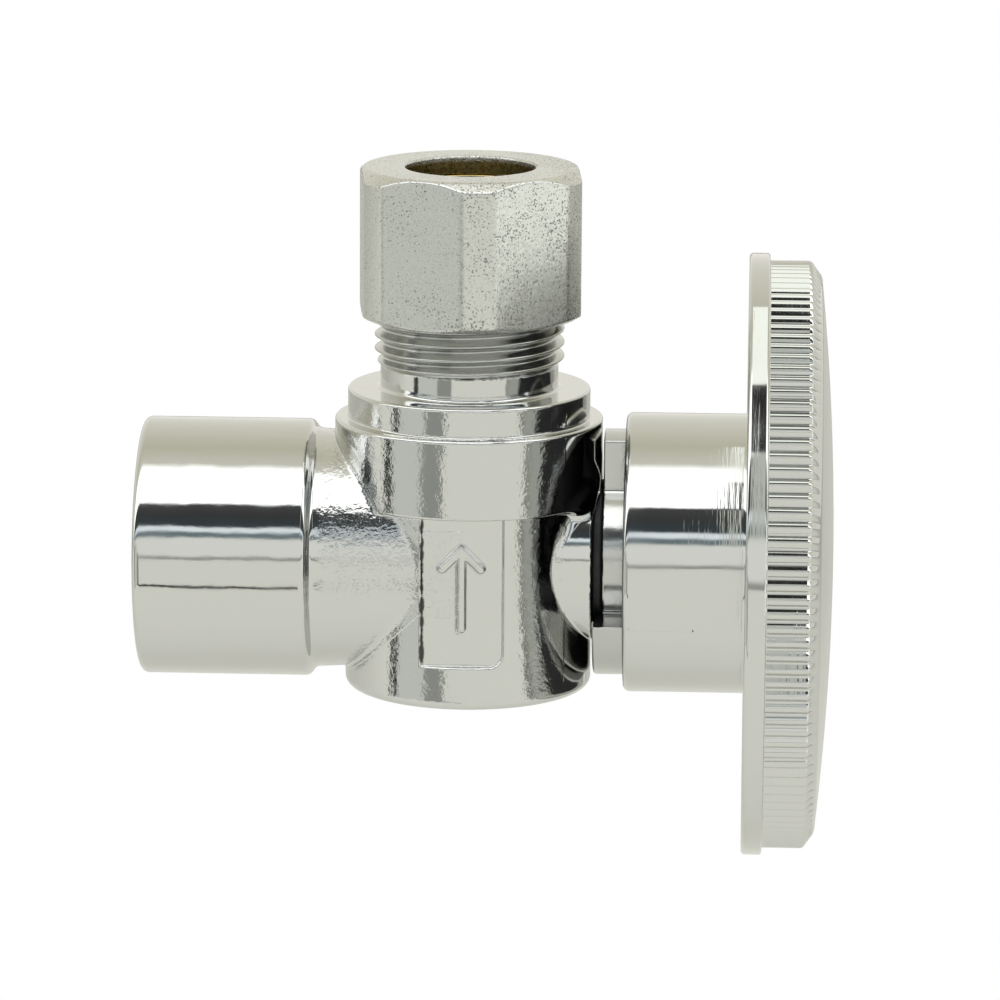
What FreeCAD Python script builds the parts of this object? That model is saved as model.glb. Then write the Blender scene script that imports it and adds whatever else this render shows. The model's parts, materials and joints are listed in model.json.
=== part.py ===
"""Quarter-turn angle stop valve: sweat socket inlet, compression outlet, round knurled handle.

Millimetres.  The origin is the centre of the inlet socket's mouth.  +X runs along the inlet
to the handle, +Z is the outlet, and -Y is the side of the barrel that carries the flat panel.
Straight lengths along an axis are given as positions on that axis.
"""
import FreeCAD, Part
import math
import os

from FreeCAD import Vector

# Driving dimensions ----------------------------------------------------------------------------
inch = 25.4
supply_tube_r = 0.625 * inch / 2        # 1/2 in nominal copper tube, 5/8 in outside
outlet_tube_r = 0.375 * inch / 2        # 3/8 in outside diameter tube
thread_major_r = 0.5625 * inch / 2      # 9/16-24 compression thread
thread_pitch = inch / 24
running_gap = 0.05                      # radial clearance of turning fits

barrel_x = 24.66                        # outlet axis, measured from the socket's mouth

# inlet cup and neck, along X
cup_r = 9.75
cup_end = 13.06
socket_r = supply_tube_r + 0.05
socket_depth = 0.5 * inch
neck_root_r = 9.07
neck_r = 8.76
inlet_passage_r = 2.7

# barrel, along Z
barrel_r = 9.32
barrel_bottom = -10.34
collar_r = 10.10
collar_bottom = 4.32
collar_top = 10.38
ring_r = 9.13
ring_top = 12.60
stub_neck_r = 6.70
thread_bottom = 14.40
thread_crest_z = 14.76                  # height of one crest on the front of the stub
stub_top = 22.50
tube_stop = 16.10
tube_socket_r = outlet_tube_r + 0.07
outlet_passage_r = 2.4

# boss and bonnet, along X
boss_r = 6.65
boss_end = 34.15
boss_bore_r = 5.20
chamber_start = 19.20
chamber_end = 29.85
chamber_r = 4.90
bonnet_inner_end = 29.90
bonnet_neck_r = 5.60
seal_groove_r = 4.60
lug_start = 34.25
flange_start = 34.90
flange_end = 38.40
flange_r = 9.30
stop_wall_y = 2.30                      # walls of the flange's notches, from the axis
stop_wall_z = 3.90
bonnet_face = 39.40

# ball, seats and stem
ball_r = 4.60
ball_port_r = 2.20
ball_slot_width = 1.80
ball_slot_length = 4.80
ball_slot_floor = barrel_x + 2.90
seat_gap = 0.04
seat_face = 3.22                        # inner faces of the inlet and stem seats, from the ball's centre
stem_r = 2.60
stem_bore_r = stem_r + running_gap
stem_collar_r = 3.40
stem_collar_start = 30.00
stem_collar_end = 31.10
thrust_washer_end = 31.70
stem_end = 47.40
square_start = 39.55
square_across = 3.60
ring_section_r = 0.43                   # O-ring cross section
ring_groove_width = 1.20
stem_groove_floor = 1.75
stem_ring_positions = (33.60, 36.90)

# handle, along X
hub_r = 10.57
hub_start = 36.54
hub_cavity_r = 9.72
hub_cavity_end = 41.60
stop_tab_start = 36.90
stop_tab_r = 5.90
stop_gap = 0.05                         # between the tab and each wall of the notch
wheel_r = 22.75
knurl_r = 22.20
knurl_count = 132
knurl_depth = 0.34
wheel_back = 45.61
bead_end = 47.17
knurl_end = 50.25
face_start = 51.10
face_r = 20.90
cap_r = 6.50
cap_top = 52.25
cap_rise = 0.12
cap_seat = 50.90
screw_well_r = 3.90
screw_well_floor = 48.40
screw_head_start = 49.00

# compression nut and sleeve, along Z
nut_across = 16.25
nut_corner_r = 8.77
nut_bottom = 18.05
nut_top = 29.35
nut_angle = -83.3                       # corner that faces the front
nut_thread_top = 24.60
sleeve_bottom = 23.30
sleeve_top = 27.90
sleeve_r = 5.95
sleeve_end_r = 5.20
sleeve_taper = 1.30

X_AXIS = Vector(1, 0, 0)
Z_AXIS = Vector(0, 0, 1)


# Helpers ---------------------------------------------------------------------------------------
def outline(corners):
    """Closed wire in the XZ plane from (along, radius, rounding) corners."""
    points = [Vector(corner[0], 0, corner[1]) for corner in corners]
    edges = []
    ends = []
    for index, corner in enumerate(corners):
        here = points[index]
        rounding = corner[2] if len(corner) > 2 else 0.0
        if rounding == 0.0:
            ends.append((here, here, None))
            continue
        back = (points[index - 1] - here).normalize()
        ahead = (points[(index + 1) % len(points)] - here).normalize()
        half = back.getAngle(ahead) / 2
        reach = rounding / math.tan(half)
        bisector = (back + ahead).normalize()
        centre = here + bisector * (rounding / math.sin(half))
        middle = centre - bisector * rounding
        ends.append((here + back * reach, here + ahead * reach, middle))
    for index, (start, finish, middle) in enumerate(ends):
        if middle is not None:
            edges.append(Part.Arc(start, middle, finish).toShape())
        following = ends[(index + 1) % len(ends)][0]
        if (following - finish).Length > 1e-6:
            edges.append(Part.makeLine(finish, following))
    return Part.Wire(edges)


def lathe_x(corners):
    """Solid turned about the X axis from (x, radius, rounding) corners."""
    face = Part.Face(outline(corners))
    return face.revolve(Vector(0, 0, 0), X_AXIS, 360)


def lathe_z(corners):
    """Solid turned about the outlet axis from (z, radius, rounding) corners."""
    solid = lathe_x(corners)
    solid.rotate(Vector(0, 0, 0), Vector(0, 1, 0), -90)
    solid.translate(Vector(barrel_x, 0, 0))
    return solid


def tube_x(x0, x1, outer_r, inner_r):
    return lathe_x([(x0, inner_r), (x0, outer_r), (x1, outer_r), (x1, inner_r)])


def rod_x(x0, x1, radius):
    return Part.makeCylinder(radius, x1 - x0, Vector(x0, 0, 0), X_AXIS)


def rod_z(z0, z1, radius):
    return Part.makeCylinder(radius, z1 - z0, Vector(barrel_x, 0, z0), Z_AXIS)


def hexagon_z(z0, z1, across, first_angle):
    """Hexagonal bar about the outlet axis; the angle runs from +X towards +Y."""
    corner_r = across / math.sqrt(3)
    angles = [math.radians(first_angle + 60 * k) for k in range(7)]
    points = [Vector(barrel_x + corner_r * math.cos(a), corner_r * math.sin(a), z0) for a in angles]
    return Part.Face(Part.makePolygon(points)).extrude(Vector(0, 0, z1 - z0))


def o_ring_x(x, centre_r):
    return Part.makeTorus(centre_r, ring_section_r, Vector(x, 0, 0), X_AXIS)


def thread_ridge(z0, z1, inner_r, outer_r, root_width, crest_width):
    """Right-hand helical ridge about the outlet axis, with a trapezoid for its section."""
    spine = Part.Wire(Part.makeHelix(thread_pitch, z1 - z0, (inner_r + outer_r) / 2).Edges)
    section = Part.makePolygon([
        Vector(inner_r, 0, -root_width / 2), Vector(outer_r, 0, -crest_width / 2),
        Vector(outer_r, 0, crest_width / 2), Vector(inner_r, 0, root_width / 2),
        Vector(inner_r, 0, -root_width / 2)])
    ridge = spine.makePipeShell([section], True, True)
    turns = (z0 - thread_crest_z) / thread_pitch
    ridge.rotate(Vector(0, 0, 0), Z_AXIS, -90 + 360 * turns)
    ridge.translate(Vector(barrel_x, 0, z0))
    return ridge


def single(shape):
    """The one solid of a boolean result, with its seams merged."""
    merged = shape.removeSplitter()
    return merged.Solids[0] if len(merged.Solids) == 1 else merged


# Valve body ------------------------------------------------------------------------------------
thread_depth = 0.6134 * thread_pitch
thread_minor_r = thread_major_r - thread_depth
thread_slope = math.tan(math.radians(30))
crest_width = thread_pitch / 8
root_width = crest_width + 2 * thread_depth * thread_slope


def body_outside():
    cup = lathe_x([(0, 0), (0, cup_r, 0.65), (cup_end, cup_r, 0.55), (cup_end + 0.35, neck_root_r),
                   (19.0, neck_r), (barrel_x, neck_r), (barrel_x, 0)])
    barrel = lathe_z([(barrel_bottom, 0), (barrel_bottom, barrel_r, 0.7), (collar_bottom, barrel_r),
                      (collar_bottom, collar_r, 0.3), (collar_top, collar_r, 0.35),
                      (collar_top, ring_r), (ring_top, ring_r, 0.3), (ring_top, stub_neck_r),
                      (thread_bottom, stub_neck_r), (thread_bottom + 0.2, thread_minor_r),
                      (stub_top, thread_minor_r), (stub_top, 0)])
    boss = rod_x(barrel_x, boss_end, boss_r)
    return cup.fuse([barrel, boss])


def body_thread():
    overlap = 0.15
    ridge = thread_ridge(thread_bottom - 0.9, stub_top + 0.5, thread_minor_r - overlap, thread_major_r,
                         root_width + 2 * overlap * thread_slope, crest_width)
    # both ends of the thread run out on a chamfer
    outside_r = thread_major_r + 0.1
    limit = lathe_z([(thread_bottom, 0), (thread_bottom, stub_neck_r), (thread_bottom + 0.45, outside_r),
                     (stub_top - 0.75, outside_r), (stub_top, thread_minor_r - 0.05), (stub_top, 0)])
    return ridge.common(limit)


def body_cavities():
    socket = rod_x(-1, socket_depth, socket_r)
    passage = rod_x(socket_depth - 1, chamber_start + 1, inlet_passage_r)
    chamber = rod_x(chamber_start, chamber_end + 0.5, chamber_r)
    boss_bore = rod_x(chamber_end, boss_end + 1, boss_bore_r)
    spot_face = rod_x(boss_end, boss_end + 1, bonnet_neck_r + 0.1)
    seat_pocket = rod_z(0, outlet_seat_top, outlet_seat_r + 0.02)
    outlet_passage = rod_z(0, tube_stop + 0.5, outlet_passage_r)
    tube_socket = rod_z(tube_stop, stub_top + 1, tube_socket_r)
    mouth_r = sleeve_end_r + 0.83
    cone_bottom = stub_top - (mouth_r - tube_socket_r)
    mouth = lathe_z([(cone_bottom, 0), (cone_bottom, tube_socket_r), (stub_top, mouth_r),
                     (stub_top + 1, mouth_r), (stub_top + 1, 0)])
    return [socket, passage, chamber, boss_bore, spot_face, seat_pocket, outlet_passage, tube_socket, mouth]


panel_half_width = 3.12
panel_centre = 0.10
panel_bottom = -7.0
panel_y = -8.66
mark_height = 0.24
mark_stroke = 0.62


def panel_recess():
    """Flat recess on the barrel, open at the collar and round at its lower corners."""
    left = barrel_x + panel_centre - panel_half_width
    block = Part.makeBox(2 * panel_half_width, 3, collar_bottom - panel_bottom - 0.1,
                         Vector(left, panel_y - 3, panel_bottom))
    uprights = [edge for edge in block.Edges
                if abs(edge.Vertexes[0].Z - edge.Vertexes[1].Z) < 1e-6
                and abs(edge.Vertexes[0].X - edge.Vertexes[1].X) < 1e-6
                and edge.Vertexes[0].Z < panel_bottom + 0.1]
    return block.makeFillet(1.0, uprights)


def flow_arrow():
    """Raised arrow on the panel that points to the outlet."""
    x = barrel_x + panel_centre
    tip = 2.3
    tail = -4.2
    wing = 1.75
    half = mark_stroke / 2
    reach = half * math.sqrt(2)
    corners = [(x, tip), (x + wing, tip - wing), (x + wing - reach, tip - wing - reach),
               (x + half, tip - half - 2 * reach), (x + half, tail), (x - half, tail),
               (x - half, tip - half - 2 * reach), (x - wing + reach, tip - wing - reach),
               (x - wing, tip - wing), (x, tip)]
    points = [Vector(px, panel_y + 0.2, pz) for px, pz in corners]
    return Part.Face(Part.makePolygon(points)).extrude(Vector(0, -mark_height - 0.2, 0))


def valve_body():
    outside = body_outside().fuse(body_thread())
    marked = single(outside.cut(panel_recess()).fuse(flow_arrow()))
    return marked.cut(body_cavities()).Solids[0]


# Ball and seats --------------------------------------------------------------------------------
outlet_seat_r = 3.15
outlet_seat_top = 5.60


def clearance_sphere():
    return Part.makeSphere(ball_r + seat_gap, Vector(barrel_x, 0, 0))


def inlet_seat_ring():
    ring = tube_x(chamber_start, barrel_x - seat_face, chamber_r - 0.02, inlet_passage_r)
    return single(ring.cut(clearance_sphere()))


def stem_seat_ring():
    ring = tube_x(barrel_x + seat_face, chamber_end, chamber_r - 0.02, 2.70)
    return single(ring.cut(clearance_sphere()))


def outlet_seat_ring():
    ring = rod_z(3.0, outlet_seat_top - 0.02, outlet_seat_r).cut(rod_z(2.0, 7.0, outlet_passage_r))
    return single(ring.cut(clearance_sphere()))


def ball():
    sphere = Part.makeSphere(ball_r, Vector(barrel_x, 0, 0))
    inlet_port = rod_x(barrel_x - ball_r - 1, barrel_x, ball_port_r)
    elbow = Part.makeSphere(ball_port_r, Vector(barrel_x, 0, 0))
    outlet_port = rod_z(0, ball_r + 1, ball_port_r)
    slot = Part.makeBox(ball_r, ball_slot_width, ball_slot_length,
                        Vector(ball_slot_floor, -ball_slot_width / 2, -ball_slot_length / 2))
    return single(sphere.cut([inlet_port, elbow, outlet_port, slot]))


# Stem, its seals and the bonnet ----------------------------------------------------------------
def ring_grooves_on_stem():
    half = ring_groove_width / 2
    return [tube_x(x - half, x + half, stem_r + 1, stem_groove_floor) for x in stem_ring_positions]


def stem():
    tang_gap = 0.05
    tang = Part.makeBox(stem_collar_start - ball_slot_floor, ball_slot_width - 2 * tang_gap,
                        ball_slot_length - 0.2,
                        Vector(ball_slot_floor + 0.1, tang_gap - ball_slot_width / 2,
                               0.1 - ball_slot_length / 2))
    turned = lathe_x([(stem_collar_start, 0), (stem_collar_start, stem_collar_r),
                      (stem_collar_end, stem_collar_r), (stem_collar_end, stem_r),
                      (square_start, stem_r), (square_start, 0)])
    half = square_across / 2
    square = Part.makeBox(stem_end - square_start + 0.5, square_across, square_across,
                          Vector(square_start - 0.5, -half, -half))
    tapped_hole = rod_x(41.5, stem_end + 1, screw_r)
    return single(turned.fuse([tang, square]).cut(ring_grooves_on_stem() + [tapped_hole]))


def thrust_washer():
    return tube_x(stem_collar_end + 0.02, thrust_washer_end, stem_collar_r, stem_bore_r)


def bonnet_flange():
    """Flange with two notches; the front one has the walls that stop the handle's tab.

    The upper wall of the front notch is vertical and the lower one level, so the tab, whose
    sides are as far from the axis as the walls, turns 90 degrees between them.  Below the
    level wall the flange reaches back over the seal.
    """
    ring = lathe_x([(lug_start, bonnet_neck_r + 0.02), (lug_start, flange_r, 0.25),
                    (flange_end, flange_r, 0.3), (flange_end, 5.0), (flange_start, 5.0),
                    (flange_start, bonnet_neck_r + 0.02)])
    length = flange_end - lug_start + 2
    front_notch = Part.makeBox(length, 20, 20, Vector(lug_start - 1, -20 - stop_wall_y, -stop_wall_z))
    back_notch = Part.makeBox(length, 20, 20, Vector(lug_start - 1, stop_wall_y, stop_wall_z - 20))
    over_seal = Part.makeBox(flange_start - lug_start + 1, 40, 20,
                             Vector(lug_start - 1, -20, -stop_wall_z))
    return ring.cut([front_notch, back_notch, over_seal])


def bonnet():
    turned = lathe_x([(bonnet_inner_end, 0), (bonnet_inner_end, boss_bore_r - 0.03, 0.2),
                      (boss_end, boss_bore_r - 0.03), (boss_end, seal_groove_r),
                      (flange_start, seal_groove_r), (flange_start, bonnet_neck_r, 0.1),
                      (flange_end, bonnet_neck_r), (flange_end, 5.0), (bonnet_face, 5.0, 0.3),
                      (bonnet_face, 0)])
    collar_recess = rod_x(bonnet_inner_end - 1, thrust_washer_end + 0.03, stem_collar_r + running_gap)
    stem_bore = rod_x(bonnet_inner_end, bonnet_face + 1, stem_bore_r)
    return single(turned.fuse(bonnet_flange()).cut([collar_recess, stem_bore]))


def bonnet_o_ring():
    """Ring squeezed between the boss and the flange, almost square in section."""
    start = boss_end + 0.02
    finish = flange_start - 0.02
    return lathe_x([(start, seal_groove_r + 0.02), (start, 5.50, 0.2), (finish, 5.50, 0.2),
                    (finish, seal_groove_r + 0.02)])


def stem_o_ring(x):
    return o_ring_x(x, (stem_groove_floor + stem_bore_r) / 2)


# Handle ----------------------------------------------------------------------------------------
screw_r = 1.50
screw_head_r = 3.00
screw_head_end = 50.70


def knurled_band():
    """Rim band with round crests and narrow valleys that run along X."""
    step = 2 * math.pi / knurl_count
    valley_r = knurl_r - knurl_depth

    def at(radius, angle):
        return Vector(bead_end - 0.5, radius * math.cos(angle), radius * math.sin(angle))

    arcs = [Part.Arc(at(valley_r, k * step), at(knurl_r, (k + 0.5) * step),
                     at(valley_r, (k + 1) * step)).toShape() for k in range(knurl_count)]
    band = Part.Face(Part.Wire(arcs)).extrude(Vector(face_start - bead_end + 0.5, 0, 0))
    limit = lathe_x([(bead_end - 1, 0), (bead_end - 1, knurl_r + 1), (bead_end, knurl_r + 0.05),
                     (knurl_end, knurl_r + 0.02, 0.35), (face_start, face_r + 0.1), (face_start, 0)])
    return band.common(limit)


def wheel_blank():
    """Hub, back flange and domed face, turned in one piece."""
    dome_rise = cap_top - face_start
    dome_radius = (face_r ** 2 + dome_rise ** 2) / (2 * dome_rise)
    blank = lathe_x([(hub_start, 0), (hub_start, hub_r, 0.5), (wheel_back + 0.5, hub_r, 0.3),
                     (wheel_back + 0.75, 20.6, 0.3), (wheel_back, 21.4), (wheel_back, wheel_r, 0.75),
                     (bead_end, wheel_r, 0.6), (bead_end, face_r), (face_start, face_r), (face_start, 0)])
    dome = Part.makeSphere(dome_radius, Vector(cap_top - dome_radius, 0, 0))
    dome = dome.common(rod_x(face_start - 0.4, cap_top + 0.1, face_r))
    return blank.fuse(dome)


def stop_tab():
    """Tab inside the hub; open, it rests above the level wall of the bonnet's front notch."""
    return Part.makeBox(hub_cavity_end + 0.5 - stop_tab_start, hub_cavity_r + 0.3 - stop_tab_r,
                        stop_wall_z - stop_wall_y - 2 * stop_gap,
                        Vector(stop_tab_start, -hub_cavity_r - 0.3, stop_gap - stop_wall_z))


def handle_wheel():
    cavity = rod_x(hub_start - 1, hub_cavity_end, hub_cavity_r)
    across = square_across + 2 * running_gap
    drive = Part.makeBox(stem_end + 0.2 - hub_start, across, across,
                         Vector(hub_start, -across / 2, -across / 2))
    screw_hole = rod_x(stem_end, screw_well_floor + 1, screw_r + 0.25)
    well = rod_x(screw_well_floor, cap_top + 1, screw_well_r)
    cap_recess = rod_x(cap_seat, cap_top + 1, cap_r + 0.08)
    solid = wheel_blank().fuse(knurled_band())
    return single(solid.cut([cavity, drive, screw_hole, well, cap_recess]).fuse(stop_tab()))


def handle_screw():
    """Pan head screw with a cross recess."""
    turned = lathe_x([(42.5, 0), (42.5, screw_r - 0.5), (43.0, screw_r), (screw_head_start, screw_r),
                      (screw_head_start, screw_head_r, 0.15), (screw_head_end, screw_head_r, 0.9),
                      (screw_head_end, 0)])
    blades = [Part.makeBox(2, 3.2, 0.7, Vector(screw_head_end - 1.1, -1.6, -0.35)),
              Part.makeBox(2, 0.7, 3.2, Vector(screw_head_end - 1.1, -0.35, -1.6))]
    return single(turned.cut(blades))


def screw_lock_washer():
    """Split spring washer under the screw's head."""
    ring = tube_x(screw_well_floor + 0.02, screw_head_start - 0.02, 2.9, screw_r + 0.15)
    split = Part.makeBox(3, 3, 0.4, Vector(screw_well_floor - 1, 0.5, -0.2))
    return single(ring.cut(split))


def index_cap():
    """Domed cap over the screw, with a plug ring that snaps into the screw well."""
    disc = lathe_x([(cap_seat + 0.05, 0), (cap_seat + 0.05, cap_r), (cap_top - 0.25, cap_r, 0.1),
                    (cap_top, cap_r - 0.25), (cap_top, 0)])
    dome_radius = (cap_r ** 2 + cap_rise ** 2) / (2 * cap_rise)
    dome = Part.makeSphere(dome_radius, Vector(cap_top - dome_radius, 0, 0))
    plug = tube_x(49.9, cap_seat + 0.1, screw_well_r - 0.06, 3.2)
    return single(disc.common(dome).fuse(plug))


# Compression outlet ----------------------------------------------------------------------------
nut_hole_r = 4.89
nut_thread_gap = 0.10


def compression_nut():
    bar = hexagon_z(nut_bottom, nut_top, nut_across, nut_angle)
    flat_r = nut_across / 2
    chamfer = lathe_z([(nut_bottom, 0), (nut_bottom, flat_r - 0.1), (nut_bottom + 0.45, nut_corner_r),
                       (nut_top - 0.68, nut_corner_r), (nut_top, flat_r - 0.15), (nut_top, 0)])
    bore_r = thread_minor_r + 0.08 + nut_thread_gap
    mouth_r = thread_major_r + 0.2
    inside = lathe_z([(nut_bottom - 1, 0), (nut_bottom - 1, mouth_r), (nut_bottom, mouth_r),
                      (nut_bottom + 0.55, bore_r), (nut_thread_top, bore_r), (nut_thread_top + 0.2, 6.30),
                      (26.10, 6.30), (27.95, 5.25), (27.95, nut_hole_r), (nut_top - 0.3, nut_hole_r),
                      (nut_top, nut_hole_r + 0.3), (nut_top + 1, nut_hole_r + 0.3), (nut_top + 1, 0)])
    # the seams of the turned faces stay clear of the stub's seams at every half turn
    inside.rotate(Vector(barrel_x, 0, 0), Z_AXIS, 60)
    overlap = 0.15
    side_gap = nut_thread_gap / math.cos(math.radians(30))
    groove = thread_ridge(nut_bottom - 1.5, nut_thread_top - 0.3, thread_minor_r + 0.18 - overlap,
                          thread_major_r + nut_thread_gap,
                          root_width + 2 * side_gap - 2 * (0.18 - overlap) * thread_slope,
                          crest_width + 2 * side_gap - 2 * nut_thread_gap * thread_slope)
    return single(bar.common(chamfer).cut(inside).cut(groove))


def compression_sleeve():
    inner_r = outlet_tube_r + 0.05
    return lathe_z([(sleeve_bottom, inner_r), (sleeve_bottom, sleeve_end_r),
                    (sleeve_bottom + sleeve_taper, sleeve_r), (sleeve_top - sleeve_taper, sleeve_r),
                    (sleeve_top, sleeve_end_r), (sleeve_top, inner_r)])


# Every piece is its own node -------------------------------------------------------------------
pieces = {
    "valve_body": valve_body(),
    "inlet_seat_ring": inlet_seat_ring(),
    "stem_seat_ring": stem_seat_ring(),
    "outlet_seat_ring": outlet_seat_ring(),
    "bonnet": bonnet(),
    "bonnet_o_ring": bonnet_o_ring(),
    "ball": ball(),
    "stem": stem(),
    "thrust_washer": thrust_washer(),
    "stem_o_ring_inner": stem_o_ring(stem_ring_positions[0]),
    "stem_o_ring_outer": stem_o_ring(stem_ring_positions[1]),
    "handle_wheel": handle_wheel(),
    "handle_screw": handle_screw(),
    "screw_lock_washer": screw_lock_washer(),
    "index_cap": index_cap(),
    "compression_nut": compression_nut(),
    "compression_sleeve": compression_sleeve(),
}

os.makedirs("parts", exist_ok=True)
for name, shape in pieces.items():
    shape.exportStep(f"parts/{name}.step")
    print(f"{name}: {len(shape.Solids)} solid, {shape.Volume:.1f} mm3, valid {shape.isValid()}")
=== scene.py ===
"""Looks of the quarter-turn angle stop valve: fine meshes, plating and studio on the CAD frame.

Shapes are worked out in millimetres in the row frame and written to the meshes in metres.
X runs from the inlet to the handle, Z is the outlet, and -Y is the side with the flat panel.
"""
import bpy
import json
import math
import numpy as np
from mathutils import Matrix, Vector


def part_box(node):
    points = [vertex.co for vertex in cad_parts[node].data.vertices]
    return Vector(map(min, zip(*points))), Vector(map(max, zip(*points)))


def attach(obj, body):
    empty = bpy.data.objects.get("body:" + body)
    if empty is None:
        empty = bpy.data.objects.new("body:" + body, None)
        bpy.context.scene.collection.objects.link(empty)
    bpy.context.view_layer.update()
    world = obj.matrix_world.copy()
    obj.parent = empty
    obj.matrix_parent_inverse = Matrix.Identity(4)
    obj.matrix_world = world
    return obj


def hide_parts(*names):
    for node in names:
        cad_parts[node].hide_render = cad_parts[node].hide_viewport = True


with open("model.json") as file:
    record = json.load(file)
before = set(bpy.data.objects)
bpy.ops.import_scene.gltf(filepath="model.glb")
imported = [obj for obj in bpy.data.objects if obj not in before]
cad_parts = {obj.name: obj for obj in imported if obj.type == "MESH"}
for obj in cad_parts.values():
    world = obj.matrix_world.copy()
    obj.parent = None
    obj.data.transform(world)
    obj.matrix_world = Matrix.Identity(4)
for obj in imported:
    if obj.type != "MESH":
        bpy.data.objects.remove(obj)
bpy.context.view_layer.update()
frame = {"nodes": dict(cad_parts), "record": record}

MM = 0.001


# Sizes from the frame ---------------------------------------------------------------------------
def box_mm(node):
    """Lowest and highest corner of a CAD node, in millimetres."""
    low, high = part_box(node)
    return np.array(low) / MM, np.array(high) / MM


mounts = {mount["name"]: mount for mount in frame["record"]["mounts"]}
inlet = mounts["inlet_socket"]
outlet = mounts["outlet_tube_socket"]
barrel_x = outlet["pos_m"][0] / MM
socket_r = inlet["dims"]["r_mm"]
socket_depth = inlet["dims"]["length_mm"]
tube_socket_r = outlet["dims"]["r_mm"]

body_low, body_high = box_mm("valve_body")
bonnet_low, bonnet_high = box_mm("bonnet")
wheel_low, wheel_high = box_mm("handle_wheel")
cap_low, cap_high = box_mm("index_cap")
nut_low, nut_high = box_mm("compression_nut")
sleeve_low, sleeve_high = box_mm("compression_sleeve")

thread_pitch = 25.4 / 24
thread_major_r = 25.4 * 0.5625 / 2
thread_depth = 0.6134 * thread_pitch
thread_minor_r = thread_major_r - thread_depth
thread_crest_z = 14.76

panel_left = 3.05
panel_bottom = -7.0
collar_bottom = 4.32


# Distance functions: negative inside, arrays of millimetres ---------------------------------------
def smooth_min(a, b, blend):
    overlap = np.maximum(blend - np.abs(a - b), 0.0) / blend
    return np.minimum(a, b) - overlap * overlap * blend / 4


def smooth_max(a, b, blend):
    return -smooth_min(-a, -b, blend)


def capped(along, radial, start, end, radius, rounding=0.0):
    """Turned drum between two ends, with a rounded rim."""
    middle = (start + end) / 2
    over_end = np.abs(along - middle) - (end - start) / 2 + rounding
    over_side = radial - radius + rounding
    outside = np.hypot(np.maximum(over_end, 0), np.maximum(over_side, 0))
    return np.minimum(np.maximum(over_end, over_side), 0) + outside - rounding


def slab(x, y, z, low, high, rounding=0.0):
    """Box between two corners, with rounded edges."""
    parts = []
    for value, start, end in zip((x, y, z), low, high):
        parts.append(np.abs(value - (start + end) / 2) - (end - start) / 2 + rounding)
    outside = np.sqrt(sum(np.maximum(part, 0) ** 2 for part in parts))
    return np.minimum(np.maximum(np.maximum(parts[0], parts[1]), parts[2]), 0) + outside - rounding


def sloped(over_side, over_end, side_share, end_share):
    """Distance past a cone through a corner, from the distances past its side and its end."""
    return (over_side * side_share + over_end * end_share) / math.hypot(side_share, end_share)


def hexagon(u, v, across, first_corner, blend):
    """Hexagonal bar in the (u, v) plane; the first corner's angle is in degrees from u to v."""
    distance = None
    for side in range(6):
        angle = math.radians(first_corner + 30 + 60 * side)
        face = u * math.cos(angle) + v * math.sin(angle) - across / 2
        distance = face if distance is None else smooth_max(distance, face, blend)
    return distance


def thread(x, y, z, grow, blend):
    """Right-hand thread about the outlet axis, grown by a clearance."""
    radial = np.hypot(x - barrel_x, y)
    turn = np.arctan2(y, x - barrel_x) / (2 * math.pi) + 0.25
    phase = (z - thread_crest_z) / thread_pitch - turn
    offset = np.abs(phase - np.round(phase)) * thread_pitch
    slope = math.radians(30)
    crest_half = thread_pitch / 16
    flank = (offset - crest_half) * math.cos(slope) - (thread_major_r - radial) * math.sin(slope)
    ridge = smooth_max(flank, radial - thread_major_r, blend)
    return smooth_min(ridge, radial - thread_minor_r, blend) - grow


# Meshes -----------------------------------------------------------------------------------------
def surface_net(distance, low, high, step):
    """Vertices and quads on the zero level of a distance function, one vertex per crossed cell."""
    low = np.asarray(low, float)
    counts = np.ceil((np.asarray(high, float) - low) / step).astype(int) + 1
    axes = [low[i] + step * np.arange(counts[i]) for i in range(3)]
    field = distance(*np.meshgrid(*axes, indexing="ij"))
    inside = field < 0
    cells = tuple(counts - 1)

    def corner(array, offset):
        return array[tuple(slice(offset[i], offset[i] + cells[i]) for i in range(3))]

    offsets = [(i, j, k) for i in (0, 1) for j in (0, 1) for k in (0, 1)]
    filled = sum(corner(inside, offset).astype(np.int8) for offset in offsets)
    active = (filled > 0) & (filled < 8)
    places = np.argwhere(active)
    number = np.full(cells, -1, dtype=np.int64)
    number[active] = np.arange(len(places))

    total = np.zeros((len(places), 3))
    crossings = np.zeros(len(places))
    for axis in range(3):
        for offset in offsets:
            if offset[axis]:
                continue
            far = list(offset)
            far[axis] = 1
            start = corner(field, offset)[active]
            finish = corner(field, far)[active]
            crossed = (start < 0) != (finish < 0)
            point = places + np.array(offset, float)
            point[:, axis] += np.where(crossed, start / np.where(crossed, start - finish, 1), 0)
            total[crossed] += point[crossed]
            crossings += crossed
    vertices = low + step * total / crossings[:, None]

    faces = []
    for axis in range(3):
        near = [slice(1, -1)] * 3
        far = [slice(1, -1)] * 3
        near[axis] = slice(0, -1)
        far[axis] = slice(1, None)
        leaving = inside[tuple(near)] & ~inside[tuple(far)]
        entering = ~inside[tuple(near)] & inside[tuple(far)]
        first, second = [i for i in range(3) if i != axis]
        for crossed, forward in ((leaving, axis != 1), (entering, axis == 1)):
            base = np.argwhere(crossed)
            base[:, first] += 1
            base[:, second] += 1
            ring = []
            for a, b in ((1, 1), (0, 1), (0, 0), (1, 0)):
                cell = base.copy()
                cell[:, first] -= a
                cell[:, second] -= b
                ring.append(number[tuple(cell.T)])
            faces.append(np.stack(ring if forward else ring[::-1], axis=1))
    return vertices, np.concatenate(faces)


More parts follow.
